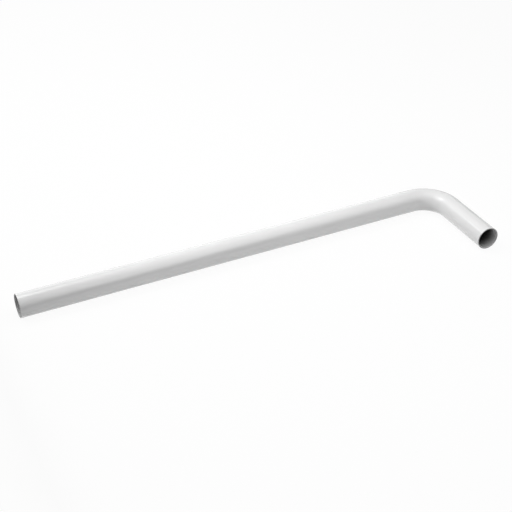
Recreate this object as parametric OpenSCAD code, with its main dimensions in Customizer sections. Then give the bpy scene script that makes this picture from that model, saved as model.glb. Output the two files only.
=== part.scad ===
// Drain pipe: one length of thin-walled tube with a single bend near one end.
// Both legs are round, plain and cut square, so a trap or a wall sleeve can take either end.
// The pipe lies flat, with its long leg along X and its short leg turned towards -Y.
// The origin is under the middle of the whole pipe, on the surface that it lies on.
// All sizes are in millimetres.

/* [Tube] */
// Outside diameter of the tube
tube_d = 32; // [20:0.5:50]
// Thickness of the tube's wall
wall = 1.2; // [0.8:0.1:3]
// Width of the small bevel that deburring leaves on both edges of a cut end
deburr = 0.25; // [0.1:0.05:0.35]

/* [Legs] */
// Reach of the long leg, from its cut end to the far side of the short leg
long_reach = 640; // [200:5:1500]
// Reach of the short leg, from its cut end to the far side of the long leg
short_reach = 150; // [100:5:400]

/* [Bend] */
// Radius of the bend, measured to the middle of the tube
bend_r = 41; // [28:1:75]

/* [Hidden] */
$fn = 96;

// Angle between the two legs
bend_angle = 90;

tube_r = tube_d / 2;
bore_r = tube_r - wall;
long_straight = long_reach - tube_r - bend_r;
short_straight = short_reach - tube_r - bend_r;

// Ring of metal that the tube shows where it is cut across
module tube_section() {
    difference() {
        circle(r = tube_r);
        circle(r = bore_r);
    }
}

// The bend: the tube's section turned about an upright axis, which the origin is on
module bend() {
    rotate_extrude(angle = bend_angle)
        translate([bend_r, 0])
            tube_section();
}

// A straight leg, standing on the face where it leaves the bend.
// Its wall is turned about its own axis, with both edges of the cut end bevelled.
module leg(length) {
    rotate_extrude()
        polygon([
            [bore_r, 0],
            [tube_r, 0],
            [tube_r, length - deburr],
            [tube_r - deburr, length],
            [bore_r + deburr, length],
            [bore_r, length - deburr]
        ]);
}

// The whole pipe: one bend and its two legs, all one piece of tube.
// The bend's axis is set in from the long leg and from the short leg by the bend's radius.
module drain_pipe() {
    bend_x = long_reach / 2 - tube_r - bend_r;
    bend_y = short_reach / 2 - tube_r - bend_r;
    color("whitesmoke")
        translate([bend_x, bend_y, tube_r])
            union() {
                bend();
                translate([bend_r, 0, 0])
                    rotate([90, 0, 0])
                        leg(short_straight);
                translate([0, bend_r, 0])
                    rotate([0, -90, 0])
                        leg(long_straight);
            }
}

drain_pipe();
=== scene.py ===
# A gloss white drain pipe with one bend near its right-hand end, on white studio paper.
# The tube is swept along its centre line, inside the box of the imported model.
import math

import bpy
from mathutils import Matrix, Vector


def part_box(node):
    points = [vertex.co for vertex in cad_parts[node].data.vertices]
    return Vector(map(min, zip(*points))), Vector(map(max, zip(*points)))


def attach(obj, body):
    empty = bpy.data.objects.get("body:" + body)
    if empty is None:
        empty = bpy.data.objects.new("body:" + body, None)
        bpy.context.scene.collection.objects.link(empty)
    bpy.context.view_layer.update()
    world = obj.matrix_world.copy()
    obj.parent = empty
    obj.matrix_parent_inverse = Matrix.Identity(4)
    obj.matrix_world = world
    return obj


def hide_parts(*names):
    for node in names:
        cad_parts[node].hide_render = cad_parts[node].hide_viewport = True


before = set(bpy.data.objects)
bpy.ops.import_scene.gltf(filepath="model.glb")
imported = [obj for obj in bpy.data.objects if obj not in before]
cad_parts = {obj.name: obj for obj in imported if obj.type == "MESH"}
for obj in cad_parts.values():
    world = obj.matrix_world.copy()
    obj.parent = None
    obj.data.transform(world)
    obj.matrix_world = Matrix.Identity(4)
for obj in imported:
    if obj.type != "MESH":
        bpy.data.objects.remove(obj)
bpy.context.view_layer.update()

# Drain pipe
# One length of thin round steel tube, cut to length and bent once through a right angle
# round a former. It is powder coated gloss white outside; the bore and the deburred ends
# are left as bare metal.
WALL = 0.0012
BEND_RADIUS = 0.041
DEBURR_WIDTH = 0.00025
DEBURR_STEPS = 3
SHARP_EDGE = math.radians(60)
SIDES = 160
BEND_STEPS = 64
MILLIMETRE = 0.001

low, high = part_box("drain_pipe")
tube_radius = (high.z - low.z) / 2
axis_height = low.z + tube_radius
long_end = Vector((low.x, high.y - tube_radius, axis_height))
corner = Vector((high.x - tube_radius, high.y - tube_radius, axis_height))
short_end = Vector((high.x - tube_radius, low.y, axis_height))


def linear(hex_colour):
    """Linear RGBA of an sRGB hex colour."""
    rgb = [int(hex_colour[i : i + 2], 16) / 255 for i in (0, 2, 4)]
    return [c / 12.92 if c <= 0.04045 else ((c + 0.055) / 1.055) ** 2.4 for c in rgb] + [1.0]


def add_node(tree, kind, inputs=None, **settings):
    """Adds a node with its settings, and sets or links its inputs."""
    node = tree.nodes.new(kind)
    for name, value in settings.items():
        setattr(node, name, value)
    for socket, value in (inputs or {}).items():
        if isinstance(value, bpy.types.NodeSocket):
            tree.links.new(value, node.inputs[socket])
        else:
            node.inputs[socket].default_value = value
    return node


def new_material(name):
    """An empty node material and its tree."""
    material = bpy.data.materials.new(name)
    material.use_nodes = True
    material.node_tree.nodes.clear()
    return material, material.node_tree


# Powder coat: dry polyester powder, sprayed on and baked until it flows. It gives a
# clean neutral white with a deep gloss, a faint orange peel, and a slow ripple that
# makes the long highlights waver. The peel is 1 to 4 mm across and microns high.
COAT_WHITE = "E8E8E8"
COAT_THIN = "E0E0E0"
PEEL = 3.5 * MILLIMETRE
PEEL_HEIGHT = 0.004 * MILLIMETRE
RIPPLE_AROUND = 14 * MILLIMETRE
RIPPLE_ALONG = 90 * MILLIMETRE
RIPPLE_HEIGHT = 0.12 * MILLIMETRE
CLOUD = 45 * MILLIMETRE
GLOSSIEST = 0.11
LEAST_GLOSSY = 0.16

coat, tree = new_material("gloss white powder coat")
unbent = add_node(tree, "ShaderNodeAttribute", attribute_name="unbent").outputs["Vector"]
peel = add_node(
    tree,
    "ShaderNodeTexNoise",
    {"Vector": unbent, "Scale": 1 / PEEL, "Detail": 1.5, "Roughness": 0.4},
)
peel_bump = add_node(
    tree,
    "ShaderNodeBump",
    {"Strength": 1.0, "Distance": PEEL_HEIGHT, "Height": peel.outputs["Fac"]},
)
ripple_space = add_node(
    tree,
    "ShaderNodeMapping",
    {"Vector": unbent, "Scale": (1 / RIPPLE_AROUND, 1 / RIPPLE_AROUND, 1 / RIPPLE_ALONG)},
)
ripple = add_node(
    tree,
    "ShaderNodeTexNoise",
    {"Vector": ripple_space.outputs["Vector"], "Scale": 1.0, "Detail": 1.0},
)
ripple_bump = add_node(
    tree,
    "ShaderNodeBump",
    {
        "Strength": 1.0,
        "Distance": RIPPLE_HEIGHT,
        "Height": ripple.outputs["Fac"],
        "Normal": peel_bump.outputs["Normal"],
    },
)
cloud = add_node(tree, "ShaderNodeTexNoise", {"Vector": unbent, "Scale": 1 / CLOUD, "Detail": 3.0})
coat_tone = add_node(
    tree,
    "ShaderNodeMixRGB",
    {"Fac": cloud.outputs["Fac"], "Color1": linear(COAT_THIN), "Color2": linear(COAT_WHITE)},
)
coat_gloss = add_node(
    tree,
    "ShaderNodeMapRange",
    {"Value": cloud.outputs["Fac"], "To Min": GLOSSIEST, "To Max": LEAST_GLOSSY},
)
surface = add_node(
    tree,
    "ShaderNodeBsdfPrincipled",
    {
        "Base Color": coat_tone.outputs["Color"],
        "Roughness": coat_gloss.outputs["Result"],
        "IOR": 1.5,
        "Normal": ripple_bump.outputs["Normal"],
    },
)
add_node(tree, "ShaderNodeOutputMaterial", {"Surface": surface.outputs["BSDF"]})

# Bore: bare mill steel, dark with its oxide, with lengthwise mill lines, drawn coarser
# than the real ones so that they show. Each mouth is painted pale, fading to the dark
# steel over the first few centimetres inwards: painted light where light falls into the
# mouth, and painted shade deeper in. The pale part is also less metallic.
BORE_STEEL = "6E6E6E"
BORE_OXIDE = "3C3C3C"
# The pale colour painted at each mouth as light falling in, and how far in it fades.
PAINTED_MOUTH_LIGHT = "DCDCDC"
PAINTED_LIGHT_REACH = 25 * MILLIMETRE
PAINTED_LIGHT_EDGE = 5 * MILLIMETRE
MILL_LINE = 1.2 * MILLIMETRE
MILL_LINE_LENGTH = 60 * MILLIMETRE
MILL_LINE_DEPTH = 0.01 * MILLIMETRE
OXIDE_PATCH = 9 * MILLIMETRE
MARKS_DARK = 0.12
MARKS_PALE = 0.38
BARE_METALLIC = 0.6
BORE_SMOOTHEST = 0.5
BORE_ROUGHEST = 0.75
straight_long = corner.x - long_end.x - BEND_RADIUS
straight_short = corner.y - short_end.y - BEND_RADIUS
tube_length = straight_long + BEND_RADIUS * math.pi / 2 + straight_short

bore, tree = new_material("oxide-dark bare mill steel")
unbent = add_node(tree, "ShaderNodeAttribute", attribute_name="unbent").outputs["Vector"]
drawn_out = add_node(
    tree,
    "ShaderNodeMapping",
    {"Vector": unbent, "Scale": (1 / MILL_LINE, 1 / MILL_LINE, 1 / MILL_LINE_LENGTH)},
)
mill_lines = add_node(
    tree,
    "ShaderNodeTexNoise",
    {"Vector": drawn_out.outputs["Vector"], "Scale": 1.0, "Detail": 3.0},
)
oxide = add_node(
    tree, "ShaderNodeTexNoise", {"Vector": unbent, "Scale": 1 / OXIDE_PATCH, "Detail": 4.0}
)
marks = add_node(
    tree,
    "ShaderNodeMath",
    {0: mill_lines.outputs["Fac"], 1: oxide.outputs["Fac"]},
    operation="MULTIPLY",
)
bare = add_node(
    tree,
    "ShaderNodeMapRange",
    {"Value": marks.outputs[0], "From Min": MARKS_DARK, "From Max": MARKS_PALE},
)
bare_colour = add_node(
    tree,
    "ShaderNodeMixRGB",
    {"Fac": bare.outputs["Result"], "Color1": linear(BORE_OXIDE), "Color2": linear(BORE_STEEL)},
)
# How far in from the nearer mouth, with the patches of oxide to fray the edge of the painted
# light.
along = add_node(tree, "ShaderNodeSeparateXYZ", {"Vector": unbent})
from_other_end = add_node(
    tree, "ShaderNodeMath", {0: tube_length, 1: along.outputs["Z"]}, operation="SUBTRACT"
)
depth = add_node(
    tree,
    "ShaderNodeMath",
    {0: along.outputs["Z"], 1: from_other_end.outputs[0]},
    operation="MINIMUM",
)
frayed = add_node(
    tree,
    "ShaderNodeMath",
    {0: oxide.outputs["Fac"], 1: PAINTED_LIGHT_EDGE, 2: depth.outputs[0]},
    operation="MULTIPLY_ADD",
)
# Painted light: 1 at each mouth, fading to 0 deeper in, where the bore is left as painted shade.
painted_light_fade = add_node(
    tree,
    "ShaderNodeMapRange",
    {
        "Value": frayed.outputs[0],
        "From Min": PAINTED_LIGHT_EDGE / 2,
        "From Max": PAINTED_LIGHT_REACH,
        "To Min": 1.0,
        "To Max": 0.0,
    },
    interpolation_type="SMOOTHSTEP",
)
bore_colour = add_node(
    tree,
    "ShaderNodeMixRGB",
    {
        "Fac": painted_light_fade.outputs["Result"],
        "Color1": bare_colour.outputs["Color"],
        "Color2": linear(PAINTED_MOUTH_LIGHT),
    },
)
metal_share = add_node(
    tree,
    "ShaderNodeMapRange",
    {"Value": painted_light_fade.outputs["Result"], "To Min": BARE_METALLIC, "To Max": 0.0},
)
bore_roughness = add_node(
    tree,
    "ShaderNodeMapRange",
    {"Value": oxide.outputs["Fac"], "To Min": BORE_SMOOTHEST, "To Max": BORE_ROUGHEST},
)
bore_bump = add_node(
    tree,
    "ShaderNodeBump",
    {"Strength": 1.0, "Distance": MILL_LINE_DEPTH, "Height": mill_lines.outputs["Fac"]},
)
surface = add_node(
    tree,
    "ShaderNodeBsdfPrincipled",
    {
        "Base Color": bore_colour.outputs["Color"],
        "Metallic": metal_share.outputs["Result"],
        "Roughness": bore_roughness.outputs["Result"],
        "Normal": bore_bump.outputs["Normal"],
    },
)
add_node(tree, "ShaderNodeOutputMaterial", {"Surface": surface.outputs["BSDF"]})

# Cut ends: the same steel, sawn square and deburred. It gives a fine satin grey line
# round each mouth, crossed by the straight marks of the saw. The marks are drawn
# about three times as far apart as real ones.
CUT_STEEL = "A6A6A6"
CUT_SHADE = "7C7C7C"
SAW_MARK = 0.5 * MILLIMETRE
SAW_MARK_LENGTH = 40 * MILLIMETRE
SAW_MARK_DEPTH = 0.01 * MILLIMETRE
CUT_SMOOTHEST = 0.3
CUT_ROUGHEST = 0.5

rim, tree = new_material("sawn and deburred steel")
unbent = add_node(tree, "ShaderNodeAttribute", attribute_name="unbent").outputs["Vector"]
across = add_node(
    tree,
    "ShaderNodeMapping",
    {"Vector": unbent, "Scale": (1 / SAW_MARK_LENGTH, 1 / SAW_MARK, 1 / SAW_MARK_LENGTH)},
)
saw_marks = add_node(
    tree, "ShaderNodeTexNoise", {"Vector": across.outputs["Vector"], "Scale": 1.0, "Detail": 2.0}
)
cut_tone = add_node(
    tree,
    "ShaderNodeMixRGB",
    {"Fac": saw_marks.outputs["Fac"], "Color1": linear(CUT_SHADE), "Color2": linear(CUT_STEEL)},
)
cut_roughness = add_node(
    tree,
    "ShaderNodeMapRange",
    {"Value": saw_marks.outputs["Fac"], "To Min": CUT_SMOOTHEST, "To Max": CUT_ROUGHEST},
)
saw_bump = add_node(
    tree,
    "ShaderNodeBump",
    {"Strength": 1.0, "Distance": SAW_MARK_DEPTH, "Height": saw_marks.outputs["Fac"]},
)
surface = add_node(
    tree,
    "ShaderNodeBsdfPrincipled",
    {
        "Base Color": cut_tone.outputs["Color"],
        "Metallic": 1.0,
        "Roughness": cut_roughness.outputs["Result"],
        "Normal": saw_bump.outputs["Normal"],
    },
)
add_node(tree, "ShaderNodeOutputMaterial", {"Surface": surface.outputs["BSDF"]})

# The sweep: a centre line of two straight legs whose one corner is rounded to the bend,
# and a ring drawn along it. Each point keeps its place on the straight tube, as it was
# before bending, and the finishes read that.
sweep = bpy.data.node_groups.new("tube with one bend", "GeometryNodeTree")
sweep.interface.new_socket(name="Geometry", in_out="OUTPUT", socket_type="NodeSocketGeometry")
sizes = {
    "Long end": ("NodeSocketVector", long_end),
    "Corner": ("NodeSocketVector", corner),
    "Short end": ("NodeSocketVector", short_end),
    "Bend radius": ("NodeSocketFloat", BEND_RADIUS),
    "Bend steps": ("NodeSocketInt", BEND_STEPS),
    "Tube radius": ("NodeSocketFloat", tube_radius),
    "Sides": ("NodeSocketInt", SIDES),
    "Finish": ("NodeSocketMaterial", coat),
}
for name, (kind, value) in sizes.items():
    sweep.interface.new_socket(name=name, in_out="INPUT", socket_type=kind)
given = add_node(sweep, "NodeGroupInput").outputs

chord = add_node(
    sweep,
    "GeometryNodeCurvePrimitiveLine",
    {"Start": given["Long end"], "End": given["Short end"]},
)
chord_points = add_node(
    sweep, "GeometryNodeResampleCurve", {"Curve": chord.outputs["Curve"], "Count": 3}
)
# The chord's points are 0, 1 and 2. Point 1 moves out to where the two legs would cross.
point_number = add_node(sweep, "GeometryNodeInputIndex")
is_middle = add_node(
    sweep,
    "FunctionNodeCompare",
    {2: point_number.outputs["Index"], 3: 1},
    data_type="INT",
    operation="EQUAL",
)
cornered = add_node(
    sweep,
    "GeometryNodeSetPosition",
    {
        "Geometry": chord_points.outputs["Curve"],
        "Selection": is_middle.outputs[0],
        "Position": given["Corner"],
    },
)
centre_line = add_node(
    sweep,
    "GeometryNodeFilletCurve",
    {
        "Curve": cornered.outputs["Geometry"],
        "Count": given["Bend steps"],
        "Radius": given["Bend radius"],
    },
    mode="POLY",
)
measured_line = add_node(
    sweep, "GeometryNodeCaptureAttribute", {"Geometry": centre_line.outputs["Curve"]}
)
measured_line.capture_items.new("FLOAT", "Along")
length_so_far = add_node(sweep, "GeometryNodeSplineParameter")
sweep.links.new(length_so_far.outputs["Length"], measured_line.inputs["Along"])

ring = add_node(
    sweep,
    "GeometryNodeCurvePrimitiveCircle",
    {"Resolution": given["Sides"], "Radius": given["Tube radius"]},
    mode="RADIUS",
)
measured_ring = add_node(
    sweep, "GeometryNodeCaptureAttribute", {"Geometry": ring.outputs["Curve"]}
)
measured_ring.capture_items.new("VECTOR", "Around")
ring_place = add_node(sweep, "GeometryNodeInputPosition")
sweep.links.new(ring_place.outputs["Position"], measured_ring.inputs["Around"])

swept = add_node(
    sweep,
    "GeometryNodeCurveToMesh",
    {
        "Curve": measured_line.outputs["Geometry"],
        "Profile Curve": measured_ring.outputs["Geometry"],
    },
)
around = add_node(sweep, "ShaderNodeSeparateXYZ", {"Vector": measured_ring.outputs["Around"]})
place = add_node(
    sweep,
    "ShaderNodeCombineXYZ",
    {"X": around.outputs["X"], "Y": around.outputs["Y"], "Z": measured_line.outputs["Along"]},
)
remembered = add_node(
    sweep,
    "GeometryNodeStoreNamedAttribute",
    {"Geometry": swept.outputs["Mesh"], "Name": "unbent"},
    data_type="FLOAT_VECTOR",
    domain="POINT",
)
sweep.links.new(place.outputs["Vector"], remembered.inputs["Value"])
smooth = add_node(
    sweep, "GeometryNodeSetShadeSmooth", {"Geometry": remembered.outputs["Geometry"]}
)
real = add_node(sweep, "GeometryNodeRealizeInstances", {"Geometry": smooth.outputs["Geometry"]})
coated = add_node(
    sweep,
    "GeometryNodeSetMaterial",
    {"Geometry": real.outputs["Geometry"], "Material": given["Finish"]},
)
add_node(sweep, "NodeGroupOutput", {"Geometry": coated.outputs["Geometry"]})

# The swept shell is given its wall inwards, then both edges of each cut end are bevelled.
blank = bpy.data.meshes.new("tube blank")
for finish in (coat, bore, rim):
    blank.materials.append(finish)
maker = bpy.data.objects.new("tube maker", blank)
bpy.context.collection.objects.link(maker)
drawn = maker.modifiers.new("sweep", "NODES")
drawn.node_group = sweep
for item in sweep.interface.items_tree:
    if item.in_out == "INPUT":
        drawn[item.identifier] = sizes[item.name][1]
wall = maker.modifiers.new("wall", "SOLIDIFY")
wall.thickness = WALL
wall.offset = -1
wall.use_even_offset = True
wall.material_offset = 1
wall.material_offset_rim = 2
deburred = maker.modifiers.new("deburred edges", "BEVEL")
deburred.width = DEBURR_WIDTH
deburred.segments = DEBURR_STEPS
deburred.limit_method = "ANGLE"
deburred.angle_limit = SHARP_EDGE
deburred.material = 2
deburred.harden_normals = True

settled = bpy.context.evaluated_depsgraph_get()
tube_mesh = bpy.data.meshes.new_from_object(
    maker.evaluated_get(settled), preserve_all_data_layers=True, depsgraph=settled
)
bpy.data.objects.remove(maker)
tube_mesh.name = "drain_pipe_tube"
for finish in (bore, rim):
    if finish.name not in tube_mesh.materials:
        tube_mesh.materials.append(finish)
tube = bpy.data.objects.new("drain_pipe_tube", tube_mesh)
bpy.context.collection.objects.link(tube)
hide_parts("drain_pipe")
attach(tube, "root")

# Studio paper
# A wide sheet of matt white paper that the pipe lies on, with a white room round it. A
# share of the paper's own shading stays, for the pipe's shadow, and the room is as white
# as the far paper, so no edge shows where they meet.
PAPER_WHITE = "F0F0F0"
PAPER_HALF_WIDTH = 12.0
GLOW_SHARE = 0.94
ROOM_LIGHT = 0.13
ROOM_WHITE = 0.95


def seen_directly(tree):
    """1 for rays that come from the eye, a reflection or through glass, and else 0."""
    rays = add_node(tree, "ShaderNodeLightPath").outputs
    eye_or_gloss = add_node(
        tree,
        "ShaderNodeMath",
        {0: rays["Is Camera Ray"], 1: rays["Is Glossy Ray"]},
        operation="MAXIMUM",
    )
    with_glass = add_node(
        tree,
        "ShaderNodeMath",
        {0: eye_or_gloss.outputs[0], 1: rays["Is Transmission Ray"]},
        operation="MAXIMUM",
    )
    return with_glass.outputs[0]


paper, tree = new_material("matt white studio paper")
shaded = add_node(tree, "ShaderNodeBsdfDiffuse", {"Color": linear(PAPER_WHITE)})
glow = add_node(tree, "ShaderNodeEmission", {"Color": linear("FFFFFF"), "Strength": 1.0})
share = add_node(
    tree, "ShaderNodeMath", {0: seen_directly(tree), 1: GLOW_SHARE}, operation="MULTIPLY"
)
mixed = add_node(
    tree,
    "ShaderNodeMixShader",
    {0: share.outputs[0], 1: shaded.outputs["BSDF"], 2: glow.outputs["Emission"]},
)
add_node(tree, "ShaderNodeOutputMaterial", {"Surface": mixed.outputs["Shader"]})

paper_mesh = bpy.data.meshes.new("studio_paper")
paper_corners = [
    (x * PAPER_HALF_WIDTH, y * PAPER_HALF_WIDTH, 0)
    for x, y in ((-1, -1), (1, -1), (1, 1), (-1, 1))
]
paper_mesh.from_pydata(paper_corners, [], [(0, 1, 2, 3)])
paper_mesh.materials.append(paper)
floor = bpy.data.objects.new("studio_paper", paper_mesh)
bpy.context.collection.objects.link(floor)

room = bpy.data.worlds.new("white room")
room.use_nodes = True
tree = room.node_tree
tree.nodes.clear()
strength = add_node(
    tree,
    "ShaderNodeMapRange",
    {"Value": seen_directly(tree), "To Min": ROOM_LIGHT, "To Max": ROOM_WHITE},
)
backdrop = add_node(
    tree,
    "ShaderNodeBackground",
    {"Color": linear("FFFFFF"), "Strength": strength.outputs["Result"]},
)
add_node(tree, "ShaderNodeOutputWorld", {"Surface": backdrop.outputs["Background"]})
bpy.context.scene.world = room

# Softboxes
# White cloth boxes and strips round the pipe. Their straight edges draw the long lines
# of light on the coat: the front strip lies along the long leg, and the side strip along
# the short one. Brightness is the light that the cloth gives per unit of area.
def softbox(name, place, target, width, height, brightness, spread=180):
    """An area lamp with its width level, turned from its place to its target."""
    lamp = bpy.data.lights.new(name, "AREA")
    lamp.shape = "RECTANGLE"
    lamp.size = width
    lamp.size_y = height
    lamp.spread = math.radians(spread)
    lamp.energy = brightness * math.pi * width * height
    holder = bpy.data.objects.new(name, lamp)
    holder.location = place
    holder.rotation_euler = (Vector(target) - Vector(place)).to_track_quat("-Z", "Y").to_euler()
    bpy.context.collection.objects.link(holder)


MIDDLE = (0, 0, 0)
near_the_bend = (0.15, 0, 0)
long_leg_axis = (0.4, long_end.y, axis_height)
short_leg_axis = (short_end.x, 0.95, axis_height)
softbox("key softbox behind left", (-0.734, 0.595, 1.126), MIDDLE, 1.15, 0.6, 2.6)
softbox("high softbox behind left", (-0.448, 0.448, 1.359), MIDDLE, 1.2, 0.66, 2.14)
softbox("overhead strip", (0.0926, -0.0231, 0.491), MIDDLE, 3.82, 0.46, 0.3)
softbox("overhead softbox", (0.214, 0.124, 0.761), MIDDLE, 1.2, 0.6, 0.97)
softbox("low softbox behind", (0.336, 1.903, 0.518), MIDDLE, 2.0, 0.6, 0.64)
softbox("front strip", (0.4, -0.379, 1.219), long_leg_axis, 1.8, 0.451, 0.86)
softbox("side strip", (-0.236, 0.95, 0.732), short_leg_axis, 1.3, 0.157, 2.37)
# The fill has a honeycomb grid on its front, so its light falls off towards the left end.
softbox("gridded fill front right", (0.495, -0.857, 0.99), near_the_bend, 1.0, 0.5, 0.09, 35)

# Black flags
# Sheets of black felt on low stands round the picture. White on white loses its edges, so
# the flags give the gloss something dark to mirror there. The one by the left end is too
# near to be mirrored, and only holds back light. The camera looks through all of them.
FELT_BLACK = "0C0C0C"
FELT_WORN = "161616"
FELT_FIBRE = 4 * MILLIMETRE

felt, tree = new_material("black felt")
fibre_place = add_node(tree, "ShaderNodeTexCoord")
fibres = add_node(
    tree,
    "ShaderNodeTexNoise",
    {"Vector": fibre_place.outputs["Object"], "Scale": 1 / FELT_FIBRE, "Detail": 2.0},
)
felt_tone = add_node(
    tree,
    "ShaderNodeMixRGB",
    {"Fac": fibres.outputs["Fac"], "Color1": linear(FELT_BLACK), "Color2": linear(FELT_WORN)},
)
cloth = add_node(tree, "ShaderNodeBsdfDiffuse", {"Color": felt_tone.outputs["Color"]})
add_node(tree, "ShaderNodeOutputMaterial", {"Surface": cloth.outputs["BSDF"]})


def flag(name, foot, other_foot, height, mirrored=True):
    """An upright sheet of felt between two places on the paper."""
    sheet_mesh = bpy.data.meshes.new(name)
    feet = [(*foot, 0), (*other_foot, 0)]
    tops = [(*other_foot, height), (*foot, height)]
    sheet_mesh.from_pydata(feet + tops, [], [(0, 1, 2, 3)])
    sheet_mesh.materials.append(felt)
    sheet = bpy.data.objects.new(name, sheet_mesh)
    bpy.context.collection.objects.link(sheet)
    sheet.visible_camera = False
    sheet.visible_glossy = mirrored


flag("flag_behind_right", (0.892, 1.242), (1.302, 0.804), 0.3)
flag("flag_left_end", (-0.37, -0.3), (-0.37, 0.12), 0.06, mirrored=False)
flag("flag_in_front", (-0.35, -1.0), (1.1, -1.0), 0.42)

# Camera
# A tall three-quarter view from the front left, with a long lens, as in the photograph.
CAMERA_AIM = Vector((0.0, 0.028, 0.016))
CAMERA_DISTANCE = 1.5
CAMERA_AZIMUTH = math.radians(-24.992)
CAMERA_ELEVATION = math.radians(33.463)
CAMERA_ROLL = math.radians(-0.834)
LENS = 78.26
SENSOR_WIDTH = 36

camera_data = bpy.data.cameras.new("camera")
camera_data.sensor_width = SENSOR_WIDTH
camera_data.lens = LENS
camera = bpy.data.objects.new("camera", camera_data)
backwards = Vector(
    (
        math.sin(CAMERA_AZIMUTH) * math.cos(CAMERA_ELEVATION),
        -math.cos(CAMERA_AZIMUTH) * math.cos(CAMERA_ELEVATION),
        math.sin(CAMERA_ELEVATION),
    )
)
camera.matrix_world = (
    Matrix.Translation(CAMERA_AIM + CAMERA_DISTANCE * backwards)
    @ (-backwards).to_track_quat("-Z", "Y").to_matrix().to_4x4()
    @ Matrix.Rotation(CAMERA_ROLL, 4, "Z")
)
bpy.context.collection.objects.link(camera)
bpy.context.scene.camera = camera
bpy.context.scene.view_settings.view_transform = "Standard"
